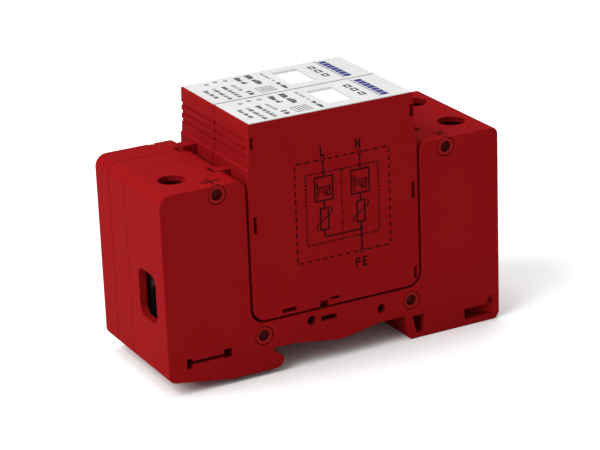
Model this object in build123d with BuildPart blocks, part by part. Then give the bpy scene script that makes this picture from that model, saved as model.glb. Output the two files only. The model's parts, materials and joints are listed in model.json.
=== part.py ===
from build123d import *
import os

# Two-pole surge protector for a 35 mm DIN rail: a riveted, U-shaped base and two plug-in
# varistor modules. Millimetres. X runs along the case from the earth tower (-X) to the line
# tower (+X), Y from the front pole (-Y) to the rear pole (+Y), Z away from the rail.
# Z = 0 is the bottom of the right foot.

# Base
LENGTH = 90.0
DEPTH = 36.0
TOWER_TOP = 49.7
CAVITY_HALF = 23.15
CAVITY_FLOOR = 13.4
SEAT = 6.4
BULGE = 4.55
LEFT_FOOT = 1.2
WALL = 1.8
CHAMBER_FLOOR = 7.3
CHAMBER_CEILING = 35.2
RIM_RADIUS = 0.3
FRONT, REAR = -DEPTH / 2, DEPTH / 2
END = LENGTH / 2
SEAMS = (-8.7, 1.5, 10.3)
SEAM_GROOVES = {1.5: 0.15, 10.3: 0.2}

# Rail clip, in the right foot
CLIP_HALF_WIDTH = 4.7
CLIP_LOW, CLIP_HIGH = 1.6, 4.6
CLIP_NOSE, CLIP_TAIL = 16.3, 41.0
CLIP_POST = (36.5, 38.0)

# Semi-tubular rivets
RIVET_PLACES = ((-30.4, 47.4), (30.4, 47.4), (-20.0, 10.2), (20.0, 10.2))
RIVET_SHANK, RIVET_BORE, RIVET_FLANGE = 1.7, 1.4, 2.15
RIVET_FACE, RIVET_BORE_END = 0.2, 1.2
RIVET_SEAT, RIVET_SEAT_DEPTH = 2.4, 0.9

# Terminals: x and y of each screw, and the radius of the screwdriver hole above it
TERMINALS = {
    "earth": (-37.4, -8.7, 3.2),
    "neutral": (38.0, -7.9, 3.4),
    "line": (38.0, 10.1, 3.4),
}
SCREW_SHANK, SCREW_HEAD = 2.45, 3.3
SCREW_FOOT, SCREW_NECK, SCREW_TOP = 24.4, 37.9, 41.2
ACCESS_LIP, HEAD_POCKET = 1.3, 4.6
BAR_UNDER, BAR_TOP = 22.6, 24.2
CAGE_FLOOR, CAGE_BOTTOM = 14.5, 12.9
CAGE_LID, CAGE_TOP = 24.6, 27.8
CAGE_HALF_LENGTH, CAGE_HALF_WIDTH, CAGE_SIDE = 4.8, 5.6, 1.4
ENTRY_HALF_WIDTH, ENTRY_LOW, ENTRY_HIGH = 4.7, 16.7, 28.8

# Strip copper and spring jaws
STRIP = 0.8
STRIP_HALF_WIDTH = 3.0
STRIP_LOW = CHAMBER_FLOOR + 0.05
RISER_X = 27.2
BLADE_X, BLADE_HALF_WIDTH, BLADE_THICK = 8.0, 3.0, 1.0
BLADE_TIP = 8.9
JAW_TOP = 11.75

# Plug-in modules
MODULE_FLOOR, MODULE_TOP, LABEL_TOP = 14.0, 62.5, 62.7
MODULE_DEPTH, MODULE_GAP = 17.6, 0.2
BODY_HALF, HEAD_HALF, CROWN_HALF = 22.5, 22.1, 21.75
HEAD_FLOOR = 51.7
MODULE_WALL = 1.6
MODULE_RIM = 0.15
HOLLOW_TOP = 61.1
GROOVES = (58.5, 56.5, 54.5)
WINDOW_X = (0.9, 7.8)
WINDOW_DEPTH = (3.55, 14.25)
LABEL_LENGTH, LABEL_MARGIN = 42.8, 0.15
LUG_DEPTH = (8.45, 11.65)
LUG_LEFT, LUG_RIGHT, LUG_SLOT = 26.2, 27.4, 1.0
MODULE_FRONTS = {"front": FRONT + 0.15, "rear": FRONT + 0.15 + MODULE_DEPTH + MODULE_GAP}
RAIL_LOW, RAIL_HIGH = 59.7, 61.0
FLAG_LOW, FLAG_HIGH, FLAG_ROOM = 61.3, 62.1, 62.2
PIVOT_X, PIVOT_Z = 9.5, 20.5

os.makedirs("parts", exist_ok=True)


def front_view(y):
    """Plane at depth y that is drawn as seen from the front: x to the right, z up."""
    return Plane(origin=(0, y, 0), x_dir=(1, 0, 0), z_dir=(0, -1, 0))


def outline_slab(points, y0, y1, mode=Mode.ADD, radii=0):
    """Extrudes the (x, z) outline from depth y0 to y1 into the current part."""
    with BuildSketch(front_view(y1)) as profile:
        with BuildLine():
            FilletPolyline(*points, radius=radii, close=True)
        make_face()
    extrude(profile.sketch, amount=y1 - y0, mode=mode)


def block(x, y, z, mode=Mode.ADD):
    """Adds or cuts the box between the two values of each axis."""
    middle = [(pair[0] + pair[1]) / 2 for pair in (x, y, z)]
    with Locations(tuple(middle)):
        Box(abs(x[1] - x[0]), abs(y[1] - y[0]), abs(z[1] - z[0]), mode=mode)


def rod(centre, radius, y0, y1, mode=Mode.ADD):
    """Cylinder along Y through the (x, z) centre."""
    with BuildSketch(front_view(y1)) as profile:
        with Locations(centre):
            Circle(radius)
    extrude(profile.sketch, amount=y1 - y0, mode=mode)


def post(x, y, radius, z0, z1, mode=Mode.ADD):
    """Cylinder along Z."""
    with BuildSketch(Plane.XY.offset(z0)) as profile:
        with Locations((x, y)):
            Circle(radius)
    extrude(profile.sketch, amount=z1 - z0, mode=mode)


def save(part, label):
    """Labels a finished piece and writes its STEP file."""
    part.label = label
    export_step(part, f"parts/{label}.step")


# ---------------------------------------------------------------- base shells

# Outer shape: x, z, corner radius, from the left tower's top corner down and round.
BASE_OUTLINE = (
    (-END, TOWER_TOP, 3.0),
    (-END, 3.8, 2.0),
    (-28.8, LEFT_FOOT, 8.0),
    (-15.1, LEFT_FOOT, 2.0),
    (-14.95, 3.9, 1.2),
    (-17.6, 5.75, 0.2),
    (-17.6, SEAT + 0.05, 0.0),
    (-14.9, SEAT + 0.05, 0.0),
    (-14.9, SEAT, 0.0),
    (-12.2, SEAT, 1.0),
    (0.3, BULGE, 1.0),
    (11.7, SEAT, 1.0),
    (18.1, SEAT, 0.3),
    (19.6, 0.0, 0.4),
    (END, 0.0, 2.0),
    (END, TOWER_TOP, 1.8),
    (CAVITY_HALF, TOWER_TOP, 2.6),
    (CAVITY_HALF, CAVITY_FLOOR, 3.9),
    (-CAVITY_HALF, CAVITY_FLOOR, 3.9),
    (-CAVITY_HALF, TOWER_TOP, 2.6),
)

# Chambers: both terminal chambers and the channel for the strips, symmetric about x = 0.
CHAMBER_HALF = (
    (END - WALL, CHAMBER_FLOOR),
    (END - WALL, CHAMBER_CEILING),
    (32.5, CHAMBER_CEILING),
    (32.5, 43.8),
    (24.95, 43.8),
    (24.95, CHAMBER_FLOOR + 0.9),
    (17.0, CHAMBER_FLOOR + 0.9),
    (17.0, 11.9),
)
CHAMBER = CHAMBER_HALF + tuple((-x, z) for x, z in reversed(CHAMBER_HALF))


def cut_shared_openings():
    """Cuts every opening that crosses or may cross a seam out of the current shell."""
    for centre in RIVET_PLACES:
        rod(centre, RIVET_SHANK + 0.05, FRONT, REAR, Mode.SUBTRACT)
    for x, y, access in TERMINALS.values():
        post(x, y, SCREW_SHANK + 0.3, CHAMBER_CEILING - 1, SCREW_TOP, Mode.SUBTRACT)
        post(x, y, HEAD_POCKET, SCREW_NECK - 0.1, TOWER_TOP - ACCESS_LIP, Mode.SUBTRACT)
        post(x, y, access, SCREW_TOP, TOWER_TOP + 1, Mode.SUBTRACT)
        side = 1 if x > 0 else -1
        with BuildSketch(Plane.YZ.offset(side * (END + 1))) as entry:
            with Locations((y, (ENTRY_LOW + ENTRY_HIGH) / 2)):
                RectangleRounded(2 * ENTRY_HALF_WIDTH, ENTRY_HIGH - ENTRY_LOW, 2.4)
        extrude(entry.sketch, amount=-side * (WALL + 2), mode=Mode.SUBTRACT)
    for start in MODULE_FRONTS.values():
        middle = start + MODULE_DEPTH / 2
        for x in (-BLADE_X, BLADE_X):
            block(
                (x - BLADE_HALF_WIDTH - 0.4, x + BLADE_HALF_WIDTH + 0.4),
                (middle - 0.8, middle + 0.8),
                (11.0, CAVITY_FLOOR + 1),
                Mode.SUBTRACT,
            )
        notch = (start + LUG_DEPTH[0] - 0.2, start + LUG_DEPTH[1] + 0.2)
        for inner, tip in ((-20.0, -LUG_LEFT), (20.0, LUG_RIGHT)):
            slot_end = tip + (LUG_SLOT if tip > 0 else -LUG_SLOT)
            block((inner, slot_end), notch, (46.7, TOWER_TOP + 1), Mode.SUBTRACT)
            block((tip, slot_end), notch, (44.6, 47.0), Mode.SUBTRACT)
    channel = (-CLIP_HALF_WIDTH - 0.3, CLIP_HALF_WIDTH + 0.3)
    block((17.0, END - 1.2), channel, (CLIP_LOW - 0.4, 5.6), Mode.SUBTRACT)
    block((39.0, END + 1), (-3.2, 3.2), (-1.0, 3.4), Mode.SUBTRACT)


def base_shell(y0, y1, hollow):
    """One moulding of the base between two seams, with its chambers open over `hollow`."""
    points = [(x, z) for x, z, _ in BASE_OUTLINE]
    radii = [radius for _, _, radius in BASE_OUTLINE]
    with BuildPart() as shell:
        outline_slab(points, y0, y1, radii=radii)
        for face in (FRONT, REAR):
            rim = shell.edges().filter_by_position(Axis.Y, face, face)
            if rim:
                fillet(rim, RIM_RADIUS)
        if y1 in SEAM_GROOVES:
            seam_groove(points, radii, y1, SEAM_GROOVES[y1])
        outline_slab(CHAMBER, *hollow, mode=Mode.SUBTRACT)
        cut_shared_openings()
    return shell.part


def seam_groove(points, radii, seam, step):
    """Cuts the fine step at the shell's rear rim that shows as a line where two shells meet."""
    with BuildSketch(front_view(seam)) as ring:
        with BuildLine():
            FilletPolyline(*points, radius=radii, close=True)
        make_face()
        offset(ring.sketch, amount=-step, kind=Kind.INTERSECTION, mode=Mode.SUBTRACT)
    extrude(ring.sketch, amount=step, mode=Mode.SUBTRACT)


front_shell = base_shell(FRONT, SEAMS[0], (FRONT + WALL, SEAMS[0] + 1))
with BuildPart() as front_shell_detailed:
    add(front_shell)
    for x, z in RIVET_PLACES:
        rod((x, z), RIVET_SEAT, FRONT, FRONT + RIVET_SEAT_DEPTH, Mode.SUBTRACT)
    rod((-7.3, 11.15), 1.2, FRONT, FRONT + 3.0, Mode.SUBTRACT)
    rod((11.7, 9.9), 1.15, FRONT, FRONT + 3.0, Mode.SUBTRACT)
    block((-4.8, -0.5), (FRONT, FRONT + 3.0), (10.3, 11.6), Mode.SUBTRACT)
    # Moulded slots of the left foot, joined by a narrow one
    block((-40.3, -38.8), (FRONT, FRONT + 3.0), (6.4, 8.9), Mode.SUBTRACT)
    block((-39.0, -30.7), (FRONT, FRONT + 2.5), (7.3, 8.2), Mode.SUBTRACT)
    block((-30.7, -28.4), (FRONT, FRONT + 3.0), (6.9, 9.2), Mode.SUBTRACT)
    # Window and pocket of the right foot
    window = ((20.2, 6.0), (21.3, 1.3), (23.1, 1.4), (23.5, 5.9))
    outline_slab(window, FRONT, FRONT + 6.0, Mode.SUBTRACT)
    corner = ((40.8, 4.4), (43.0, 4.4), (43.0, 6.6), (41.9, 6.4))
    outline_slab(corner, FRONT, FRONT + 1.0, Mode.SUBTRACT)
    # The pocket is deep at its left end and ramps out to the right
    with BuildSketch(Plane.XY.offset(1.6)) as ramp:
        with BuildLine():
            Polyline(
                (34.9, FRONT),
                (34.9, FRONT + 5.0),
                (37.4, FRONT + 5.0),
                (43.0, FRONT + 0.3),
                (43.0, FRONT),
                close=True,
            )
        make_face()
    extrude(ramp.sketch, amount=2.9, mode=Mode.SUBTRACT)
save(front_shell_detailed.part, "front_shell")

front_inner_shell = base_shell(SEAMS[0], SEAMS[1], (SEAMS[0] - 1, -1.2))
with BuildPart() as front_inner_detailed:
    add(front_inner_shell)
    # The earth busbar crosses the partition here
    block((-31.5, -24.6), (-2.0, 2.0), (CHAMBER_FLOOR, 8.6), Mode.SUBTRACT)
    # Post that the rail clip's spring pushes against
    block(CLIP_POST, (-1.4, 1.3), (CLIP_LOW, 6.0))
save(front_inner_detailed.part, "front_inner_shell")

rear_inner_shell = base_shell(SEAMS[1], SEAMS[2], (SEAMS[1] - 1, SEAMS[2] + 1))
save(rear_inner_shell, "rear_inner_shell")

rear_shell = base_shell(SEAMS[2], REAR, (SEAMS[2] - 1, REAR - WALL))
with BuildPart() as rear_shell_detailed:
    add(rear_shell)
    for x, z in RIVET_PLACES:
        rod((x, z), RIVET_SEAT, REAR - RIVET_SEAT_DEPTH, REAR, Mode.SUBTRACT)
save(rear_shell_detailed.part, "rear_shell")

with BuildPart() as rivets:
    for centre in RIVET_PLACES:
        rod(centre, RIVET_SHANK, FRONT + RIVET_FACE, REAR - RIVET_FACE)
        rod(centre, RIVET_FLANGE, FRONT + RIVET_FACE, FRONT + RIVET_SEAT_DEPTH)
        rod(centre, RIVET_FLANGE, REAR - RIVET_SEAT_DEPTH, REAR - RIVET_FACE)
        rod(centre, RIVET_BORE, FRONT, FRONT + RIVET_BORE_END, Mode.SUBTRACT)
        rod(centre, RIVET_BORE, REAR - RIVET_BORE_END, REAR, Mode.SUBTRACT)
save(rivets.part, "rivets")


# ---------------------------------------------------------------- terminals

def terminal_bar(side, y, clamp_y, jaw_x):
    """Adds one strip: clamp plate under the screw, riser, and run under the rivet to a jaw."""
    riser = (side * (RISER_X - STRIP), side * RISER_X)
    width = (y - STRIP_HALF_WIDTH, y + STRIP_HALF_WIDTH)
    block((riser[0], side * 41.0), (clamp_y - 3.6, clamp_y + 3.6), (BAR_UNDER, BAR_TOP))
    block(riser, width, (STRIP_LOW, BAR_TOP))
    block((riser[1], jaw_x - side * 4.0), width, (STRIP_LOW, STRIP_LOW + STRIP))


MIDDLES = {name: start + MODULE_DEPTH / 2 for name, start in MODULE_FRONTS.items()}

with BuildPart() as earth_busbar:
    terminal_bar(-1, MIDDLES["front"], TERMINALS["earth"][1], -BLADE_X)
    across = (MIDDLES["front"] - STRIP_HALF_WIDTH, MIDDLES["rear"] + STRIP_HALF_WIDTH)
    block((-31.0, -25.2), across, (STRIP_LOW, STRIP_LOW + STRIP))
    rear_width = (MIDDLES["rear"] - STRIP_HALF_WIDTH, MIDDLES["rear"] + STRIP_HALF_WIDTH)
    block((-31.0, -BLADE_X + 4.0), rear_width, (STRIP_LOW, STRIP_LOW + STRIP))
save(earth_busbar.part, "earth_busbar")

for name, pole in (("neutral", "front"), ("line", "rear")):
    with BuildPart() as bar:
        terminal_bar(1, MIDDLES[pole], TERMINALS[name][1], BLADE_X)
    save(bar.part, f"{name}_bar")


def spring_jaw(x, y):
    """Tulip-shaped clip that grips one module blade between two leaves."""
    with BuildPart() as jaw:
        with BuildSketch(Plane.YZ.offset(x - 2.5)) as profile:
            with BuildLine():
                Polyline(
                    (y - 1.35, JAW_TOP - 0.1),
                    (y - 0.83, JAW_TOP - 1.2),
                    (y - 1.5, STRIP_LOW + STRIP + 0.3),
                    (y + 1.5, STRIP_LOW + STRIP + 0.3),
                    (y + 0.83, JAW_TOP - 1.2),
                    (y + 1.35, JAW_TOP - 0.1),
                )
            trace(line_width=0.5)
        extrude(profile.sketch, amount=5.0)
    return jaw.part


JAWS = {
    "front_earth_jaw": (-BLADE_X, MIDDLES["front"]),
    "rear_earth_jaw": (-BLADE_X, MIDDLES["rear"]),
    "neutral_jaw": (BLADE_X, MIDDLES["front"]),
    "line_jaw": (BLADE_X, MIDDLES["rear"]),
}
for label, place in JAWS.items():
    save(spring_jaw(*place), label)


def terminal_screw(x, y):
    """Captive M5 clamp screw with a cross and slot drive."""
    with BuildPart() as screw:
        post(x, y, SCREW_SHANK, SCREW_FOOT, SCREW_NECK)
        post(x, y, SCREW_HEAD, SCREW_NECK, SCREW_TOP)
        chamfer(screw.edges().group_by(Axis.Z)[-1], 0.4)
        block((x - 4, x + 4), (y - 0.5, y + 0.5), (SCREW_TOP - 1.4, SCREW_TOP + 1), Mode.SUBTRACT)
        block((x - 0.5, x + 0.5), (y - 2, y + 2), (SCREW_TOP - 1.9, SCREW_TOP + 1), Mode.SUBTRACT)
    return screw.part


def terminal_cage(x, y):
    """Lifting cage: the screw turns in its lid and pulls its floor up under the bar."""
    inner = CAGE_HALF_WIDTH - CAGE_SIDE
    with BuildPart() as cage:
        block(
            (x - CAGE_HALF_LENGTH, x + CAGE_HALF_LENGTH),
            (y - CAGE_HALF_WIDTH, y + CAGE_HALF_WIDTH),
            (CAGE_BOTTOM, CAGE_TOP),
        )
        fillet(cage.edges().filter_by(Axis.X), 1.0)
        block((x - 9, x + 9), (y - inner, y + inner), (CAGE_FLOOR, CAGE_LID), Mode.SUBTRACT)
        post(x, y, SCREW_SHANK + 0.05, CAGE_LID - 1, CAGE_TOP + 1, Mode.SUBTRACT)
        # Serrations that bite the conductor
        for step in range(5):
            centre = x - 3.6 + 1.8 * step
            block((centre - 0.3, centre + 0.3), (y - 3.4, y + 3.4), (CAGE_FLOOR, CAGE_FLOOR + 0.35))
    return cage.part


for name, (x, y, _) in TERMINALS.items():
    save(terminal_screw(x, y), f"{name}_screw")
    save(terminal_cage(x, y), f"{name}_cage")


# ---------------------------------------------------------------- rail clip

with BuildPart() as rail_clip:
    nose = ((CLIP_NOSE, 5.2), (CLIP_NOSE, 4.6), (19.4, CLIP_LOW), (21.4, CLIP_LOW), (21.4, 5.2))
    outline_slab(nose, -CLIP_HALF_WIDTH, CLIP_HALF_WIDTH)
    block(
        (21.0, CLIP_TAIL),
        (-CLIP_HALF_WIDTH, CLIP_HALF_WIDTH),
        (CLIP_LOW, CLIP_HIGH),
    )
    # Window that holds the return spring and the shell's post
    block((27.5, CLIP_POST[1] + 0.3), (-1.7, 1.6), (0, 6), Mode.SUBTRACT)
    # Notch for the blade of a screwdriver
    block((39.6, CLIP_TAIL + 1), (-2.3, 2.3), (0, 6), Mode.SUBTRACT)
save(rail_clip.part, "rail_clip")


def coil_spring(start, length, radius, wire, turns, axis_y, axis_z, label):
    """Open coil spring along X, from x = start."""
    with BuildPart() as spring:
        with BuildLine() as coil:
            Helix(
                pitch=length / turns,
                height=length,
                radius=radius,
                center=(start, axis_y, axis_z),
                direction=(1, 0, 0),
            )
        mouth = Plane(origin=coil.line @ 0, z_dir=coil.line % 0)
        with BuildSketch(mouth) as section:
            Circle(wire / 2)
        sweep(section.sketch, path=coil.line, is_frenet=True)
    save(spring.part, label)


coil_spring(28.0, CLIP_POST[0] - 28.5, 1.1, 0.4, 6, -0.05, 3.1, "rail_clip_spring")


# ---------------------------------------------------------------- plug-in modules

# Half outline of a module, right of its middle: x, z, corner radius, from the bottom up.
MODULE_HALF = (
    (BODY_HALF, MODULE_FLOOR, 3.4),
    (BODY_HALF, HEAD_FLOOR - 0.4, 0.0),
    (HEAD_HALF, HEAD_FLOOR, 0.0),
    (CROWN_HALF, MODULE_TOP, 0.25),
)
MODULE_OUTLINE = MODULE_HALF + tuple((-x, z, r) for x, z, r in reversed(MODULE_HALF))

# Openings in a module's front face, where the mould forms its snap hooks: x range, z range, depth.
SNAP_WINDOWS = (
    ((-21.5, -20.7), (56.4, 59.3), 1.0),
    ((-21.4, -20.5), (35.9, 40.0), 1.8),
    ((20.7, 21.7), (56.7, 59.7), 1.0),
    ((20.8, 21.7), (36.3, 40.4), 1.8),
    ((21.0, 21.9), (15.6, 18.8), 1.8),
    ((-14.9, -11.1), (14.6, 15.7), 1.8),
    ((-4.9, -2.6), (13.5, 15.5), 1.8),
    ((-1.9, 0.6), (15.2, 15.9), 1.8),
)


def module_housing(start, lug_top):
    """Module case, open at the back: grip grooves, lugs, snap windows and the flag's rail."""
    end = start + MODULE_DEPTH
    points = [(x, z) for x, z, _ in MODULE_OUTLINE]
    radii = [radius for _, _, radius in MODULE_OUTLINE]
    inner = BODY_HALF - MODULE_WALL
    with BuildPart() as housing:
        outline_slab(points, start, end, radii=radii)
        for face in (0, -1):
            fillet(housing.edges().group_by(Axis.Y)[face], MODULE_RIM)
        hollow = ((inner, MODULE_FLOOR + MODULE_WALL), (inner - 0.9, HOLLOW_TOP))
        hollow += tuple((-x, z) for x, z in reversed(hollow))
        outline_slab(hollow, start + MODULE_WALL, end, Mode.SUBTRACT, radii=[2.0, 0.6, 0.6, 2.0])
        for side, tip in ((-1, LUG_LEFT), (1, LUG_RIGHT)):
            side_details(side, tip, start, lug_top)
        for x_range, z_range, depth in SNAP_WINDOWS:
            block(x_range, (start, start + depth), z_range, Mode.SUBTRACT)
        top_window(start)
        for x in (-BLADE_X, BLADE_X):
            block(
                (x - BLADE_HALF_WIDTH - 0.05, x + BLADE_HALF_WIDTH + 0.05),
                (start + MODULE_DEPTH / 2 - 0.55, start + MODULE_DEPTH / 2 + 0.55),
                (MODULE_FLOOR - 1, MODULE_FLOOR + MODULE_WALL + 1),
                Mode.SUBTRACT,
            )
        rail = (start + MODULE_WALL - 0.1, start + MODULE_WALL + 1.4)
        block((-18.0, 18.0), rail, (RAIL_LOW, RAIL_HIGH))
    return housing.part


def side_details(side, tip, start, lug_top):
    """Grip grooves and lug on one side of the module."""
    for z in GROOVES:
        taper = (CROWN_HALF - HEAD_HALF) / (MODULE_TOP - HEAD_FLOOR)
        face = side * (HEAD_HALF + taper * (z - HEAD_FLOOR))
        groove = (start + 1.4, start + MODULE_DEPTH)
        block((face - side * 0.35, face + side), groove, (z - 0.5, z + 0.4), Mode.SUBTRACT)
        with Locations((face + side * 0.15, start + 1.5, z)):
            Sphere(0.5, mode=Mode.SUBTRACT)
    inner = side * (BODY_HALF - 1.0)
    lug = ((inner, 46.95), (side * tip, 46.95), (side * tip, lug_top), (inner, lug_top))
    outline_slab(lug, start + LUG_DEPTH[0], start + LUG_DEPTH[1])


def top_window(start):
    """Opening for the status window, and the room under it that the flag slides in."""
    window = (start + WINDOW_DEPTH[0], start + WINDOW_DEPTH[1])
    block(WINDOW_X, window, (HOLLOW_TOP - 1, MODULE_TOP + 1), Mode.SUBTRACT)
    block((-8.6, 17.2), (start + 2.0, start + 15.6), (HOLLOW_TOP - 1, FLAG_ROOM), Mode.SUBTRACT)


def module_cover(start):
    """Back cover, snapped inside the rim of the housing, with the flag's second rail."""
    end = start + MODULE_DEPTH
    inner = BODY_HALF - MODULE_WALL - 0.05
    low, high = MODULE_FLOOR + MODULE_WALL + 0.05, HOLLOW_TOP - 0.05
    with BuildPart() as cover:
        plate = ((inner, low), (inner - 0.9, high), (0.9 - inner, high), (-inner, low))
        outline_slab(plate, end - 1.5, end, radii=[2.1, 0.7, 0.7, 2.1])
        block((-18.0, 18.0), (end - 2.8, end - 1.5), (RAIL_LOW, RAIL_HIGH))
        # Ribs that hold the varistor
        for x in (-16.5, 15.3):
            block((x, x + 1.2), (end - 4.0, end - 1.4), (20.0, 45.0))
    return cover.part


def module_label(start):
    """Printed plate that covers the module's top, open over the status window."""
    with BuildPart() as label_plate:
        with BuildSketch(Plane.XY.offset(MODULE_TOP)) as sheet:
            with Locations((0, start + MODULE_DEPTH / 2)):
                RectangleRounded(LABEL_LENGTH, MODULE_DEPTH - 2 * LABEL_MARGIN, 0.3)
            middle = start + sum(WINDOW_DEPTH) / 2
            with Locations((sum(WINDOW_X) / 2, middle)):
                Rectangle(
                    WINDOW_X[1] - WINDOW_X[0] + 0.02,
                    WINDOW_DEPTH[1] - WINDOW_DEPTH[0] + 0.02,
                    mode=Mode.SUBTRACT,
                )
        extrude(sheet.sketch, amount=LABEL_TOP - MODULE_TOP)
    return label_plate.part


def status_window(start):
    """Clear window, set into the opening just below the face of the label."""
    x, y = WINDOW_X, (start + WINDOW_DEPTH[0], start + WINDOW_DEPTH[1])
    with BuildPart() as pane:
        block(
            (x[0] + 0.03, x[1] - 0.03),
            (y[0] + 0.03, y[1] - 0.03),
            (FLAG_ROOM + 0.05, LABEL_TOP - 0.08),
        )
    return pane.part


def varistor(start):
    """Square metal-oxide disc in its resin coat."""
    with BuildPart() as disc:
        block((-15.0, 15.0), (start + 7.6, start + 13.4), (18.8, 46.8))
        fillet(disc.edges().filter_by(Axis.Y), 2.5)
        fillet(disc.faces().sort_by(Axis.Y)[0].edges(), 0.8)
    return disc.part


def earth_electrode(start):
    """Rear electrode of the varistor, its foot and the earth blade, cut from one sheet."""
    middle = start + MODULE_DEPTH / 2
    with BuildPart() as electrode:
        block((-12.0, 12.0), (start + 13.4, start + 14.0), (21.0, 45.0))
        block((-11.0, -5.0), (start + 13.4, start + 14.0), (16.2, 21.5))
        block((-11.0, -5.0), (middle - BLADE_THICK / 2, start + 14.0), (16.2, 17.2))
        blade(-BLADE_X, middle)
    return electrode.part


def line_electrode(start):
    """Front electrode of the varistor, with the raised pad that the arm is soldered to."""
    with BuildPart() as electrode:
        block((-12.0, 12.0), (start + 7.0, start + 7.6), (21.0, 45.0))
        block((1.5, 6.5), (start + 6.2, start + 7.1), (33.5, 38.0))
        fillet(electrode.faces().sort_by(Axis.Y)[0].edges(), 0.3)
    return electrode.part


def blade(x, y):
    """Adds one plug blade with a tapered tip."""
    half = BLADE_HALF_WIDTH
    shape = (
        (x - half, 17.2),
        (x - half, BLADE_TIP + 0.8),
        (x - half + 0.8, BLADE_TIP),
        (x + half - 0.8, BLADE_TIP),
        (x + half, BLADE_TIP + 0.8),
        (x + half, 17.2),
    )
    outline_slab(shape, y - BLADE_THICK / 2, y + BLADE_THICK / 2)


def line_blade(start):
    """Line blade, its foot, and the bracket and pin that the disconnector arm turns on."""
    middle = start + MODULE_DEPTH / 2
    with BuildPart() as conductor:
        blade(BLADE_X, middle)
        block((5.0, 11.0), (start + 3.4, middle + BLADE_THICK / 2), (16.2, 17.2))
        block((5.0, 13.5), (start + 3.4, start + 4.4), (16.2, 23.4))
        rod((PIVOT_X, PIVOT_Z), 1.2, start + 4.4, start + 6.4)
    return conductor.part


def disconnector_arm(start):
    """Copper arm that springs off the solder pad when the varistor overheats."""
    with BuildPart() as arm:
        strip = (
            (PIVOT_X - 2.2, PIVOT_Z - 2.2),
            (PIVOT_X + 2.2, PIVOT_Z - 2.2),
            (PIVOT_X + 2.2, PIVOT_Z + 2.6),
            (5.2, 40.0),
            (4.2, 47.0),
            (0.8, 47.0),
            (0.8, 40.0),
            (PIVOT_X - 2.2, PIVOT_Z + 2.6),
        )
        outline_slab(strip, start + 4.9, start + 5.9, radii=[1.5, 1.5, 1, 1, 0.8, 0.8, 1, 1])
        rod((PIVOT_X, PIVOT_Z), 1.25, start + 4, start + 7, Mode.SUBTRACT)
    return arm.part


def trip_slider(start):
    """Flag plate under the window, with the leg that pushes the arm aside."""
    with BuildPart() as slider:
        block((-7.9, 8.6), (start + 2.5, start + 15.3), (FLAG_LOW, FLAG_HIGH))
        block((-1.6, 0.2), (start + 3.5, start + 6.1), (44.5, FLAG_LOW + 0.1))
        block((-7.0, -1.5), (start + 3.5, start + 4.3), (57.5, FLAG_LOW + 0.1))
    return slider.part


for name, start in MODULE_FRONTS.items():
    # The two modules are keyed by the height of their lugs
    lug_top = TOWER_TOP + (0.05 if name == "front" else 1.2)
    save(module_housing(start, lug_top), f"{name}_module_housing")
    save(module_cover(start), f"{name}_module_cover")
    save(module_label(start), f"{name}_label")
    save(status_window(start), f"{name}_window")
    save(varistor(start), f"{name}_varistor")
    save(earth_electrode(start), f"{name}_earth_electrode")
    save(line_electrode(start), f"{name}_line_electrode")
    save(line_blade(start), f"{name}_line_blade")
    save(disconnector_arm(start), f"{name}_disconnector_arm")
    save(trip_slider(start), f"{name}_trip_slider")
    coil_spring(-19.75, 17.9, 1.3, 0.4, 11, start + 4.9, 51.0, f"{name}_trip_spring")
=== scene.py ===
import json
import math
import random

import bmesh
import bpy
from mathutils import Matrix, Vector


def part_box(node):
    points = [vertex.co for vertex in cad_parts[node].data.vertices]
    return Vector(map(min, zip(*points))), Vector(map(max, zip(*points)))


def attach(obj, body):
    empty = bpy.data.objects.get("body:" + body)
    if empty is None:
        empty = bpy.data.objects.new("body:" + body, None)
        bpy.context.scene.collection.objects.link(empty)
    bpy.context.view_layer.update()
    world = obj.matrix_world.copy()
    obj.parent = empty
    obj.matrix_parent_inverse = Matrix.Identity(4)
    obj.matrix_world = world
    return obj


MM = 0.001

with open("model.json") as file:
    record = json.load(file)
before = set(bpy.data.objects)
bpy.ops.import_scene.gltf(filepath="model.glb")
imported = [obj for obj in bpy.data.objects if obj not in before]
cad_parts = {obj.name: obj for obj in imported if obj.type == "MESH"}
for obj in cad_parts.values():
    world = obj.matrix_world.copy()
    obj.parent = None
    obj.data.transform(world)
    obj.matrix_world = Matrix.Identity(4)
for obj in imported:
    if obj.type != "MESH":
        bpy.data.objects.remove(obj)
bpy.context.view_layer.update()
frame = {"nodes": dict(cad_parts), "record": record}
scene = bpy.context.scene
REAR_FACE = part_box("rear_shell")[1].y
# Depth below the rear face past which the rivet bore is painted dark as shade
BORE_SHADE_DEPTH = 0.45 * MM
FLAG_WHITE_STARTS = 0.45 * MM


# ---------------------------------------------------------------- materials

def principled(name):
    """A new node material with its tree and Principled shader."""
    material = bpy.data.materials.new(name)
    material.use_nodes = True
    tree = material.node_tree
    return material, tree, tree.nodes["Principled BSDF"]


def coordinates(tree):
    """Object coordinates: every piece has its origin at the frame's origin."""
    return tree.nodes.new("ShaderNodeTexCoord").outputs["Object"]


def noise(tree, scale, detail=2.0, roughness=0.5, stretch=None):
    """Noise over the object coordinates; scale counts features per metre."""
    source = coordinates(tree)
    if stretch:
        mapping = tree.nodes.new("ShaderNodeMapping")
        mapping.inputs["Scale"].default_value = stretch
        tree.links.new(source, mapping.inputs["Vector"])
        source = mapping.outputs["Vector"]
    node = tree.nodes.new("ShaderNodeTexNoise")
    node.inputs["Scale"].default_value = scale
    node.inputs["Detail"].default_value = detail
    node.inputs["Roughness"].default_value = roughness
    tree.links.new(source, node.inputs["Vector"])
    return node.outputs["Fac"]


def ramp(tree, value, low, high):
    """Colour ramp between two colours, over the middle of the value's range."""
    node = tree.nodes.new("ShaderNodeValToRGB")
    for stop, position, colour in zip(node.color_ramp.elements, (0.3, 0.7), (low, high)):
        stop.position = position
        stop.color = (*colour, 1)
    tree.links.new(value, node.inputs["Fac"])
    return node.outputs["Color"]


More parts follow.
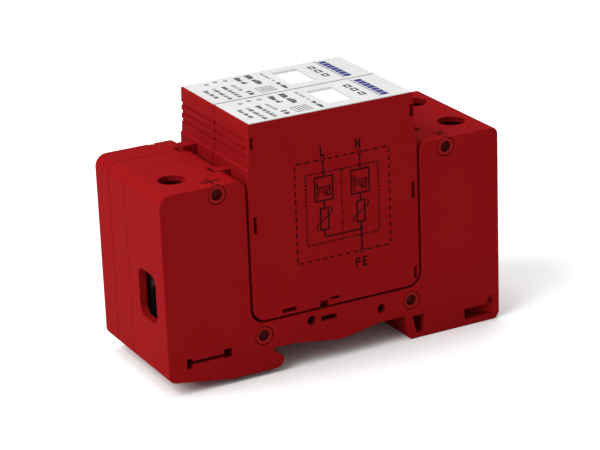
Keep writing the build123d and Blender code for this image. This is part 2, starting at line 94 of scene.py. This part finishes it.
def spread(tree, value, low, high):
    """Maps a 0 to 1 value to the range low to high."""
    node = tree.nodes.new("ShaderNodeMapRange")
    node.inputs["To Min"].default_value = low
    node.inputs["To Max"].default_value = high
    tree.links.new(value, node.inputs["Value"])
    return node.outputs["Result"]


def coordinate(tree, axis):
    """One object coordinate, in metres."""
    split = tree.nodes.new("ShaderNodeSeparateXYZ")
    tree.links.new(coordinates(tree), split.inputs["Vector"])
    return split.outputs[axis]


def compute(tree, operation, value, other=None):
    """A maths node on a value, and on a constant where the operation has two operands."""
    node = tree.nodes.new("ShaderNodeMath")
    node.operation = operation
    if other is not None:
        node.inputs[1].default_value = other
    tree.links.new(value, node.inputs[0])
    return node.outputs["Value"]


def choose(tree, factor, first, second):
    """The first colour where the factor is 0 and the second where it is 1."""
    mix = tree.nodes.new("ShaderNodeMix")
    mix.data_type = "RGBA"
    tree.links.new(factor, mix.inputs["Factor"])
    tree.links.new(first, mix.inputs["A"])
    tree.links.new(second, mix.inputs["B"])
    return mix.outputs["Result"]


def bump(tree, shader, heights):
    """Chains bump nodes; each entry is a height, its strength and its depth in metres."""
    normal = None
    for height, strength, depth in heights:
        node = tree.nodes.new("ShaderNodeBump")
        node.inputs["Strength"].default_value = strength
        node.inputs["Distance"].default_value = depth
        tree.links.new(height, node.inputs["Height"])
        if normal:
            tree.links.new(normal, node.inputs["Normal"])
        normal = node.outputs["Normal"]
    tree.links.new(normal, shader.inputs["Normal"])


def moulded(name, dark, light, specular, rough=(0.52, 0.68)):
    """Matt moulded plastic: fine spark-eroded grain, faint flow marks and colour variation."""
    material, tree, shader = principled(name)
    cloud = noise(tree, 55, 4, 0.6)
    grain = noise(tree, 2600, 2, 0.6)
    flow = noise(tree, 160, 3, 0.5, stretch=(1, 0.25, 0.6))
    tree.links.new(ramp(tree, cloud, dark, light), shader.inputs["Base Color"])
    tree.links.new(spread(tree, grain, *rough), shader.inputs["Roughness"])
    shader.inputs["Specular IOR Level"].default_value = specular
    bump(tree, shader, [(flow, 0.15, 0.0002), (grain, 0.35, 0.00004)])
    return material


def metal(name, dark, light, rough):
    """Plated or drawn metal with fine directional scratches and faint stains."""
    material, tree, shader = principled(name)
    stain = noise(tree, 240, 4, 0.6)
    scratches = noise(tree, 900, 3, 0.6, stretch=(1, 1, 14))
    tree.links.new(ramp(tree, stain, dark, light), shader.inputs["Base Color"])
    tree.links.new(spread(tree, scratches, *rough), shader.inputs["Roughness"])
    shader.inputs["Metallic"].default_value = 1.0
    bump(tree, shader, [(scratches, 0.25, 0.00003)])
    return material


def printed(name, dark, light, specular=0.2):
    """Thin printing ink with an uneven edge of density."""
    material, tree, shader = principled(name)
    mottle = noise(tree, 1800, 3, 0.6)
    tree.links.new(ramp(tree, mottle, dark, light), shader.inputs["Base Color"])
    tree.links.new(spread(tree, mottle, 0.45, 0.6), shader.inputs["Roughness"])
    shader.inputs["Specular IOR Level"].default_value = specular
    return material


def label_film():
    """Satin white label film with a faint fibre."""
    material, tree, shader = principled("label_film")
    fibre = noise(tree, 1400, 3, 0.6)
    cloud = noise(tree, 90, 3, 0.5)
    tree.links.new(
        ramp(tree, cloud, (0.46, 0.46, 0.457), (0.5, 0.5, 0.497)), shader.inputs["Base Color"]
    )
    tree.links.new(spread(tree, fibre, 0.38, 0.55), shader.inputs["Roughness"])
    shader.inputs["Specular IOR Level"].default_value = 0.3
    bump(tree, shader, [(fibre, 0.12, 0.00002)])
    return material


def clear_window():
    """Clear polycarbonate, slightly hazed."""
    material, tree, shader = principled("clear_window")
    haze = noise(tree, 300, 3, 0.5)
    tree.links.new(
        ramp(tree, haze, (0.88, 0.9, 0.91), (0.95, 0.96, 0.97)), shader.inputs["Base Color"]
    )
    tree.links.new(spread(tree, haze, 0.04, 0.12), shader.inputs["Roughness"])
    shader.inputs["Alpha"].default_value = 0.3
    shader.inputs["IOR"].default_value = 1.58
    return material


def flag_plastic():
    """Indicator flag: white where the window shows it in service, red on the end that follows."""
    material, tree, shader = principled("flag_plastic")
    past = compute(tree, "GREATER_THAN", coordinate(tree, "X"), FLAG_WHITE_STARTS)
    mottle = noise(tree, 900, 2, 0.5)
    red = ramp(tree, mottle, (0.5, 0.01, 0.01), (0.6, 0.02, 0.02))
    white = ramp(tree, mottle, (0.84, 0.84, 0.83), (0.9, 0.9, 0.89))
    tree.links.new(choose(tree, past, red, white), shader.inputs["Base Color"])
    tree.links.new(spread(tree, mottle, 0.35, 0.5), shader.inputs["Roughness"])
    return material


def rivet_metal():
    """Semi-tubular rivets: flange lacquered like the case, the bore painted dark as the shade of
    the hole.
    """
    material, tree, shader = principled("rivet_metal")
    depth = compute(tree, "ABSOLUTE", coordinate(tree, "Y"))
    # Deeper than the flange face: the bore, given a dark colour that is painted shade of the hole
    inside = compute(tree, "LESS_THAN", depth, REAR_FACE - BORE_SHADE_DEPTH)
    stain = noise(tree, 500, 3, 0.5)
    lacquer = ramp(tree, stain, (0.19, 0.005, 0.006), (0.24, 0.007, 0.008))
    painted_bore_shade = ramp(tree, stain, (0.05, 0.004, 0.005), (0.075, 0.006, 0.007))
    tree.links.new(choose(tree, inside, lacquer, painted_bore_shade), shader.inputs["Base Color"])
    tree.links.new(spread(tree, stain, 0.4, 0.55), shader.inputs["Roughness"])
    shader.inputs["Specular IOR Level"].default_value = 0.02
    bump(tree, shader, [(stain, 0.2, 0.00003)])
    return material


def floor_material():
    """Pale studio floor."""
    material, tree, shader = principled("studio_floor")
    cloud = noise(tree, 6, 2, 0.5)
    tree.links.new(
        ramp(tree, cloud, (0.86, 0.86, 0.86), (0.88, 0.88, 0.88)), shader.inputs["Base Color"]
    )
    tree.links.new(spread(tree, cloud, 0.75, 0.85), shader.inputs["Roughness"])
    shader.inputs["Specular IOR Level"].default_value = 0.1
    return material


MATERIALS = {
    "red_plastic": moulded("red_plastic", (0.194, 0.0042, 0.0054), (0.208, 0.0048, 0.006), 0.006),
    "dark_plastic": moulded("dark_plastic", (0.03, 0.02, 0.02), (0.045, 0.03, 0.03), 0.3),
    "rivet_metal": rivet_metal(),
    # Terminal steel kept very dark: painted shade for the deep cable entries
    "terminal_steel": metal("terminal_steel", (0.1, 0.09, 0.09), (0.17, 0.155, 0.15), (0.25, 0.42)),
    "copper": metal("copper", (0.55, 0.26, 0.15), (0.78, 0.42, 0.27), (0.25, 0.4)),
    "spring_steel": metal("spring_steel", (0.4, 0.4, 0.42), (0.55, 0.55, 0.57), (0.25, 0.35)),
    "label_film": label_film(),
    "clear_window": clear_window(),
    "varistor_coat": moulded(
        "varistor_coat", (0.02, 0.06, 0.2), (0.03, 0.09, 0.27), 0.5, (0.2, 0.35)
    ),
    "flag_plastic": flag_plastic(),
}
INK_BLACK = printed("ink_black", (0.012, 0.012, 0.014), (0.03, 0.03, 0.032))
INK_GREY = printed("ink_grey", (0.09, 0.09, 0.095), (0.13, 0.13, 0.135))
INK_BLUE = printed("ink_blue", (0.008, 0.012, 0.11), (0.014, 0.02, 0.15))
INK_ON_RED = printed("ink_on_red", (0.024, 0.0025, 0.0035), (0.034, 0.003, 0.004), 0.005)
INK_DARK = printed("ink_dark", (0.008, 0.002, 0.003), (0.014, 0.003, 0.004), 0.005)

for part in frame["record"]["subparts"]:
    node = frame["nodes"][part["node"]]
    node.data.materials.clear()
    node.data.materials.append(MATERIALS[part["material_slot"]])


# ---------------------------------------------------------------- printed marks

def around(centre, radius, turn):
    """The point at a radius and a turn about a centre."""
    return centre[0] + radius * math.cos(turn), centre[1] + radius * math.sin(turn)


class Print:
    """Collects flat outlines on one plane and turns them into one thin slab of ink."""

    LAYER = 0.0001

    def __init__(self, origin, across, up, thickness=0.03):
        self.origin, self.across, self.up = Vector(origin), Vector(across), Vector(up)
        self.thickness = thickness
        self.outlines = []

    def polygon(self, points):
        self.outlines.append([tuple(point) for point in points])

    def bar(self, x, y, width, height):
        """Upright rectangle centred on (x, y)."""
        self.polygon(
            [
                (x - width / 2, y - height / 2),
                (x + width / 2, y - height / 2),
                (x + width / 2, y + height / 2),
                (x - width / 2, y + height / 2),
            ]
        )

    def stroke(self, start, end, width, cap=0.5):
        """Straight line of the given width, longer by cap widths at both ends."""
        a, b = Vector(start), Vector(end)
        along = (b - a).normalized()
        side = Vector((-along.y, along.x)) * width / 2
        a, b = a - along * width * cap, b + along * width * cap
        self.polygon([a - side, b - side, b + side, a + side])

    def path(self, points, width, closed=False):
        """Line through several points."""
        loop = list(points) + ([points[0]] if closed else [])
        for start, end in zip(loop, loop[1:]):
            self.stroke(start, end, width)

    def rectangle(self, across, up, width):
        """Rectangle in outline, from the first to the last value each way."""
        (x0, x1), (y0, y1) = across, up
        self.path([(x0, y0), (x1, y0), (x1, y1), (x0, y1)], width, closed=True)

    def dashes(self, start, end, width, lengths, gap):
        """Dashed line; lengths repeat, so (long, short) gives a dash-dot line."""
        a, b = Vector(start), Vector(end)
        total = (b - a).length
        along = (b - a) / total
        pattern = sum(lengths) + gap * len(lengths)
        repeats = max(1, round(total / pattern))
        scale = total / (repeats * pattern)
        at = gap * scale / 2
        for _ in range(repeats):
            for length in lengths:
                first, last = a + along * at, a + along * (at + length * scale)
                self.stroke(first, last, width, cap=0)
                at += (length + gap) * scale

    def ring(self, centre, radius, width, steps=28):
        """Circle line."""
        inner, outer = radius - width / 2, radius + width / 2
        for step in range(steps):
            start, end = [2 * math.pi * (step + more) / steps for more in (0, 1)]
            corners = ((inner, start), (outer, start), (outer, end), (inner, end))
            self.polygon([around(centre, radius, turn) for radius, turn in corners])

    def disc(self, centre, radius, steps=20):
        """Filled circle."""
        turns = [2 * math.pi * step / steps for step in range(steps)]
        self.polygon([around(centre, radius, turn) for turn in turns])

    def letter(self, name, centre, height, width, line):
        """Generic terminal letter L, N, P or E in single strokes."""
        w, h = width / 2, height / 2
        strokes = {
            "L": [(-w, h, -w, -h), (-w, -h, w, -h)],
            "N": [(-w, -h, -w, h), (-w, h, w, -h), (w, -h, w, h)],
            "P": [(-w, -h, -w, h), (-w, h, w * 0.7, h), (w, h * 0.75, w, h * 0.2),
                  (w * 0.7, h, w, h * 0.75), (w, h * 0.2, w * 0.7, 0), (w * 0.7, 0, -w, 0)],
            "E": [(-w, -h, -w, h), (-w, h, w, h), (-w, 0, w * 0.8, 0), (-w, -h, w, -h)],
        }
        for x0, y0, x1, y1 in strokes[name]:
            self.stroke(
                (centre[0] + x0, centre[1] + y0), (centre[0] + x1, centre[1] + y1), line
            )

    def piece(self, name, material, body, slot):
        """Makes the slab and lets it ride on a body."""
        mesh_maker = bmesh.new()
        normal = self.across.cross(self.up).normalized()
        for layer, points in enumerate(self.outlines):
            # Each outline is a little thicker than the last, so crossing lines don't share a face
            rise = normal * (self.thickness + layer * self.LAYER) * MM
            sink = normal * (0.01 + layer * self.LAYER) * MM
            low, high = [], []
            for x, y in points:
                place = self.origin + (self.across * x + self.up * y) * MM
                low.append(mesh_maker.verts.new(place - sink))
                high.append(mesh_maker.verts.new(place + rise))
            mesh_maker.faces.new(high)
            mesh_maker.faces.new(list(reversed(low)))
            count = len(points)
            for index in range(count):
                following = (index + 1) % count
                mesh_maker.faces.new([low[index], low[following], high[following], high[index]])
        bmesh.ops.recalc_face_normals(mesh_maker, faces=mesh_maker.faces)
        mesh = bpy.data.meshes.new(name)
        mesh_maker.to_mesh(mesh)
        mesh_maker.free()
        mesh.materials.append(material)
        item = bpy.data.objects.new(name, mesh)
        scene.collection.objects.link(item)
        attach(item, body)


# ---------------------------------------------------------------- circuit diagram

LINE, THIN = 0.38, 0.26
FRONT_POLE, REAR_POLE = -2.85, 6.85
OUTLINE_LOW, OUTLINE_HIGH = 26.0, 50.6
TERMINAL_HIGH, TERMINAL_RING, TERMINAL_GAP = 50.55, 0.5, 0.75
BOX_LOW, BOX_HIGH, BOX_HALF = 40.5, 46.4, 2.4
VARISTOR_LOW, VARISTOR_HIGH, VARISTOR_HALF = 33.3, 38.55, 1.05
JOIN = 31.4


def circuit_diagram():
    """Two poles, each a fused gap over a varistor, joined to the protective earth."""
    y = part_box("front_module_housing")[0].y
    art = Print((0, y, 0), (1, 0, 0), (0, 0, 1))
    # Dashed outline of the device and dotted outline of the modules
    left, right, low, high = -10.35, 14.75, OUTLINE_LOW, OUTLINE_HIGH
    for start, end in (
        ((left, high), (FRONT_POLE - TERMINAL_GAP, high)),
        ((FRONT_POLE + TERMINAL_GAP, high), (REAR_POLE - TERMINAL_GAP, high)),
        ((REAR_POLE + TERMINAL_GAP, high), (right, high)),
        ((right, high), (right, low)),
        ((right, low), (REAR_POLE + TERMINAL_GAP, low)),
        ((REAR_POLE - TERMINAL_GAP, low), (left, low)),
        ((left, low), (left, high)),
    ):
        art.dashes(start, end, LINE, (1.15,), 0.9)
    left, right, low, high = -7.6, 11.75, 30.0, 47.4
    corners = [(left, low), (right, low), (right, high), (left, high)]
    for start, end in zip(corners, corners[1:] + corners[:1]):
        art.dashes(start, end, LINE, (0.55,), 0.4)
    art.dashes((1.9, high), (1.9, low), THIN, (1.3, 0.25), 0.4)
    # The two branches
    for x in (FRONT_POLE, REAR_POLE):
        art.ring((x, TERMINAL_HIGH), TERMINAL_RING, THIN)
        art.stroke((x, TERMINAL_HIGH - TERMINAL_RING), (x, BOX_HIGH), LINE)
        art.rectangle((x - BOX_HALF, x + BOX_HALF), (BOX_HIGH, BOX_LOW), LINE)
        disconnector(art, x)
        art.stroke((x, BOX_LOW), (x, VARISTOR_HIGH), LINE)
        art.rectangle((x - VARISTOR_HALF, x + VARISTOR_HALF), (VARISTOR_HIGH, VARISTOR_LOW), LINE)
        art.path([(x - 2.0, 33.35), (x - 2.0, 34.6), (x + 2.0, 37.2), (x + 2.0, 38.5)], THIN)
        art.stroke((x, VARISTOR_LOW), (x, JOIN), LINE)
    art.stroke((FRONT_POLE, JOIN), (REAR_POLE, JOIN), LINE)
    art.disc((REAR_POLE, JOIN), 0.5)
    art.stroke((REAR_POLE, JOIN), (REAR_POLE, OUTLINE_LOW + TERMINAL_RING), LINE)
    art.ring((REAR_POLE, OUTLINE_LOW), TERMINAL_RING, THIN)
    art.piece("front_circuit_diagram", INK_ON_RED, "front_module", "red_plastic")
    # Terminal letters
    letters = Print((0, y, 0), (1, 0, 0), (0, 0, 1))
    letters.letter("L", (FRONT_POLE - 0.1, 52.7), 2.1, 0.85, LINE)
    letters.letter("N", (REAR_POLE - 0.35, 52.75), 2.1, 1.0, LINE)
    letters.letter("P", (5.7, 23.15), 2.1, 0.9, LINE)
    letters.letter("E", (7.65, 23.15), 2.1, 0.85, LINE)
    letters.piece("front_terminal_letters", INK_DARK, "front_module", "red_plastic")


def disconnector(art, x):
    """Thermal disconnector symbol inside its box: arrow, step line and slashed coil."""
    art.stroke((x - 1.7, 44.6), (x - 1.7, 41.2), THIN)
    art.polygon([(x - 2.1, 44.0), (x - 1.3, 44.0), (x - 1.7, 45.3)])
    art.path([(x - 1.7, 42.6), (x - 1.1, 42.6), (x - 1.1, 43.8), (x - 0.3, 43.8)], THIN)
    art.path([(x - 0.3, 43.8), (x - 0.3, 42.5), (x + 0.4, 42.5)], THIN)
    art.rectangle((x + 0.4, x + 1.7), (41.7, 43.9), THIN)
    art.stroke((x + 0.7, 42.0), (x + 1.4, 43.6), THIN)


circuit_diagram()


# ---------------------------------------------------------------- marks on the towers

def tower_marks():
    """Earth symbol and the neutral letter, moulded dark beside the screwdriver holes."""
    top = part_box("front_shell")[1].z
    earth = Print((0, 0, top), (1, 0, 0), (0, 1, 0))
    middle, line = -14.45, 0.42
    earth.stroke((-27.9, middle), (-30.45, middle), line, cap=0)
    for x, half in ((-30.5, 1.9), (-31.45, 1.15), (-32.35, 0.65)):
        earth.stroke((x, middle - half), (x, middle + half), line, cap=0)
    earth.piece("earth_terminal_mark", INK_DARK, "base", "red_plastic")
    neutral = Print((30.9 * MM, -14.3 * MM, top), (0, 1, 0), (-1, 0, 0))
    neutral.letter("N", (0, 0), 2.7, 2.0, 0.4)
    neutral.piece("neutral_terminal_mark", INK_DARK, "base", "red_plastic")


tower_marks()


# ---------------------------------------------------------------- label print

def words(art, rng, line, start, end, height, fill=0.85):
    """Fills one line with word-like rows of small blocks, from start to end along the label."""
    at = start
    while at < end - height * 0.5:
        letters = rng.randint(2, 6)
        for _ in range(letters):
            width = height * rng.uniform(0.38, 0.62)
            if at + width > end:
                return
            tall = height * rng.choice((1.0, 1.0, 0.72))
            art.bar(line - (height - tall) / 2, at + width / 2, tall, width * fill)
            at += width * 1.18
        at += height * 0.45


# Rows of small print: place along the label, start and end across it, height, density, ink.
# The places are in millimetres from the module's middle and from its front face.
LABEL_ROWS = (
    (-1.4, 10.5, 16.0, 0.85, 0.6, "grey"),
    (-1.4, 1.4, 7.4, 1.0, 0.85, "black"),
    (-5.0, 8.1, 16.4, 1.55, 0.92, "black"),
    (-8.0, 10.3, 15.8, 1.45, 0.92, "black"),
    (-10.4, 1.6, 5.0, 1.45, 0.92, "black"),
    (-11.3, 5.8, 11.3, 0.95, 0.6, "grey"),
    (-13.8, 1.5, 11.4, 1.05, 0.75, "black"),
    (-16.4, 1.0, 11.2, 1.05, 0.75, "black"),
    (-18.8, 3.5, 11.0, 1.05, 0.7, "black"),
)


def label_print(name):
    """Generic bars and blocks in the places where a rating label has its text."""
    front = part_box(f"{name}_module_housing")[0].y / MM
    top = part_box(f"{name}_label")[1].z
    body = f"{name}_module"
    rng = random.Random(11)
    arts = {ink: Print((0, 0, top), (1, 0, 0), (0, 1, 0)) for ink in ("black", "blue", "grey")}
    black, blue, grey = arts["black"], arts["blue"], arts["grey"]
    # Maker's place: plain blue blocks over a rule
    for index in range(7):
        blue.bar(15.4, front + 2.65 + 2.05 * index, 1.9, 1.7)
    black.bar(13.9, front + 9.0, 0.2, 15.5)
    # Type line: three open blocks
    for middle in (5.6, 9.2, 12.5):
        low, high = front + middle - 0.9, front + middle + 0.9
        black.rectangle((10.5, 11.7), (low, high), 0.45)
    for line, start, end, height, fill, ink in LABEL_ROWS:
        words(arts[ink], rng, line, front + start, front + end, height, fill)
    black.bar(-1.4, front + 8.7, 0.2, 1.3)
    # Test mark: a frame with plain rules
    frame_low, frame_high = front + 1.7, front + 5.5
    grey.rectangle((-8.0, -4.0), (frame_low, frame_high), 0.2)
    for rule in (-7.1, -6.3, -5.5, -4.7):
        grey.stroke((rule, frame_low + 0.6), (rule, frame_high - 0.6), 0.28)
    # Symbols at the start of the lower rows
    for line, place in ((-11.2, 14.9), (-13.7, 15.3), (-16.3, 14.6)):
        black.ring((line, front + place), 0.45, 0.22, steps=14)
    black.piece(f"{name}_label_print", INK_BLACK, body, "label_film")
    blue.piece(f"{name}_label_blue_print", INK_BLUE, body, "label_film")
    grey.piece(f"{name}_label_grey_print", INK_GREY, body, "label_film")


label_print("front")
label_print("rear")


# ---------------------------------------------------------------- floor, light and camera

def studio():
    """Plain pale floor, a bright surround and two soft lights."""
    mesh = bpy.data.meshes.new("studio_floor")
    reach = 6.0
    corners = [(-reach, -reach, 0), (reach, -reach, 0), (reach, reach, 0), (-reach, reach, 0)]
    mesh.from_pydata(corners, [], [(0, 1, 2, 3)])
    mesh.materials.append(floor_material())
    floor = bpy.data.objects.new("studio_floor", mesh)
    scene.collection.objects.link(floor)

    world = bpy.data.worlds.new("studio_world")
    world.use_nodes = True
    background = world.node_tree.nodes["Background"]
    background.inputs["Color"].default_value = (1, 1, 1, 1)
    background.inputs["Strength"].default_value = 0.5
    scene.world = world

    lights = (
        ("key", (-0.8, -0.1, 0.75), 0.85, 14.0),
        ("top", (0.1, 0.25, 1.0), 0.8, 7.0),
    )
    aim = Vector((0, 0, 0.03))
    for name, place, size, power in lights:
        data = bpy.data.lights.new(name, "AREA")
        data.shape = "SQUARE"
        data.size = size
        data.energy = power
        lamp = bpy.data.objects.new(name, data)
        lamp.location = place
        lamp.rotation_euler = (Vector(place) - aim).to_track_quat("Z", "Y").to_euler()
        scene.collection.objects.link(lamp)


def camera():
    """Long lens, looking from the front left and above, with a slight roll."""
    heading, elevation, roll = math.radians(27.34), math.radians(20.50), math.radians(-2.23)
    data = bpy.data.cameras.new("camera")
    data.lens, data.sensor_width = 146.84, 36.0
    data.clip_start, data.clip_end = 0.05, 20.0
    eye = bpy.data.objects.new("camera", data)
    turn = (
        Matrix.Rotation(-heading, 4, "Z")
        @ Matrix.Rotation(math.pi / 2 - elevation, 4, "X")
        @ Matrix.Rotation(roll, 4, "Z")
    )
    place = Vector((-254.5, -491.85, 235.23)) * MM
    eye.matrix_world = Matrix.Translation(place) @ turn
    scene.collection.objects.link(eye)
    scene.camera = eye


studio()
camera()
scene.view_settings.view_transform = "Standard"
